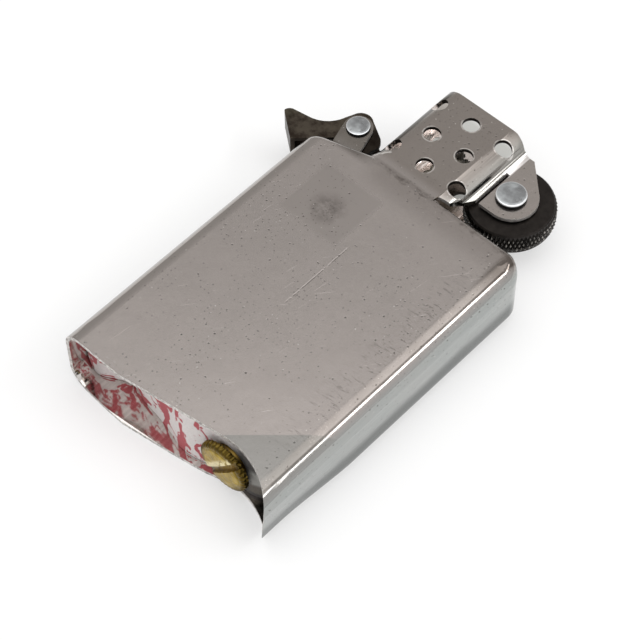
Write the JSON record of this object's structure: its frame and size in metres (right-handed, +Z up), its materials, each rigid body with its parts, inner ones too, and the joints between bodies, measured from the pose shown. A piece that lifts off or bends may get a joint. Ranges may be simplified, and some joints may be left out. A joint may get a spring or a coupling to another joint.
{
  "type": "windproof lighter insert",
  "caption": "Slim inner unit of a windproof lighter: drawn steel shell with a pierced chimney, flint wheel, lid cam, brass flint screw and felt over the filling end.",
  "frame": {"origin": "centre of the broad face that the unit lies on, at half of the body's width and length", "axes": "+X from the cam side to the wheel side, +Y from the open filling end to the chimney, +Z up through the thickness"},
  "size_m": [0.0333, 0.0502, 0.0086],
  "materials": {
    "shell_steel": "satin, worn",
    "plate_steel": "satin",
    "rivet_steel": "satin",
    "spring_steel": "satin",
    "wheel_steel": "black oxide",
    "cam_steel": "dark oxide",
    "tube_brass": "satin",
    "screw_brass": "satin",
    "flint_alloy": "matt",
    "felt": "felted",
    "wick_cotton": "braided",
    "wick_wire": "drawn wire",
    "packing_cotton": "loose fibre"
  },
  "bodies": {
    "case": {"insert_case": "shell_steel", "inner_plate": "plate_steel", "wheel_rivet": "rivet_steel", "cam_rivet": "rivet_steel", "spring_rivet": "rivet_steel", "cam_spring": "spring_steel", "flint_tube": "tube_brass", "felt_pad": "felt", "packing_1": "packing_cotton", "packing_2": "packing_cotton", "packing_3": "packing_cotton", "packing_4": "packing_cotton", "packing_5": "packing_cotton"},
    "spark_wheel": {"flint_wheel": "wheel_steel"},
    "lid_cam": {"cam": "cam_steel"},
    "feed": {"flint_spring": "spring_steel", "spring_tip": "tube_brass"},
    "screw": {"flint_screw": "screw_brass"},
    "striking_flint": {"flint": "flint_alloy"},
    "filling_flap": {"felt_flap": "felt"},
    "wick_cord": {"wick": "wick_cotton", "wick_wire": "wick_wire"}
  },
  "joints": [
    {"name": "wheel_spin", "type": "hinge", "parent": "case", "child": "spark_wheel", "pos_m": [0.00635, 0.025, 0.0043], "axis": [0, 0, 1], "continuous": true},
    {"name": "cam_swing", "type": "hinge", "parent": "case", "child": "lid_cam", "pos_m": [-0.01152, 0.02127, 0.0043], "axis": [0, 0, 1], "range_deg": [-62, 6]},
    {"name": "screw_travel", "type": "slide", "parent": "case", "child": "feed", "axis": [0, -1, 0], "range_m": [0, 0.003]},
    {"name": "screw_turn", "type": "hinge", "parent": "feed", "child": "screw", "pos_m": [0.00635, -0.01757, 0.0043], "axis": [0, -1, 0], "range_deg": [0, 2160]},
    {"name": "flint_feed", "type": "slide", "parent": "case", "child": "striking_flint", "axis": [0, -1, 0], "range_m": [0, 0.003]},
    {"name": "flap_lift", "type": "hinge", "parent": "case", "child": "filling_flap", "pos_m": [0.0016, -0.01605, 0.0043], "axis": [0, 0, 1], "range_deg": [0, 70]},
    {"name": "wick_feed", "type": "slide", "parent": "case", "child": "wick_cord", "axis": [0, 1, 0], "range_m": [0, 0.004]}
  ],
  "couplings": [
    {"joint": "screw_turn", "follows": "screw_travel", "rad_per_m": 12566},
    {"joint": "flint_feed", "follows": "screw_travel", "ratio": 1}
  ]
}
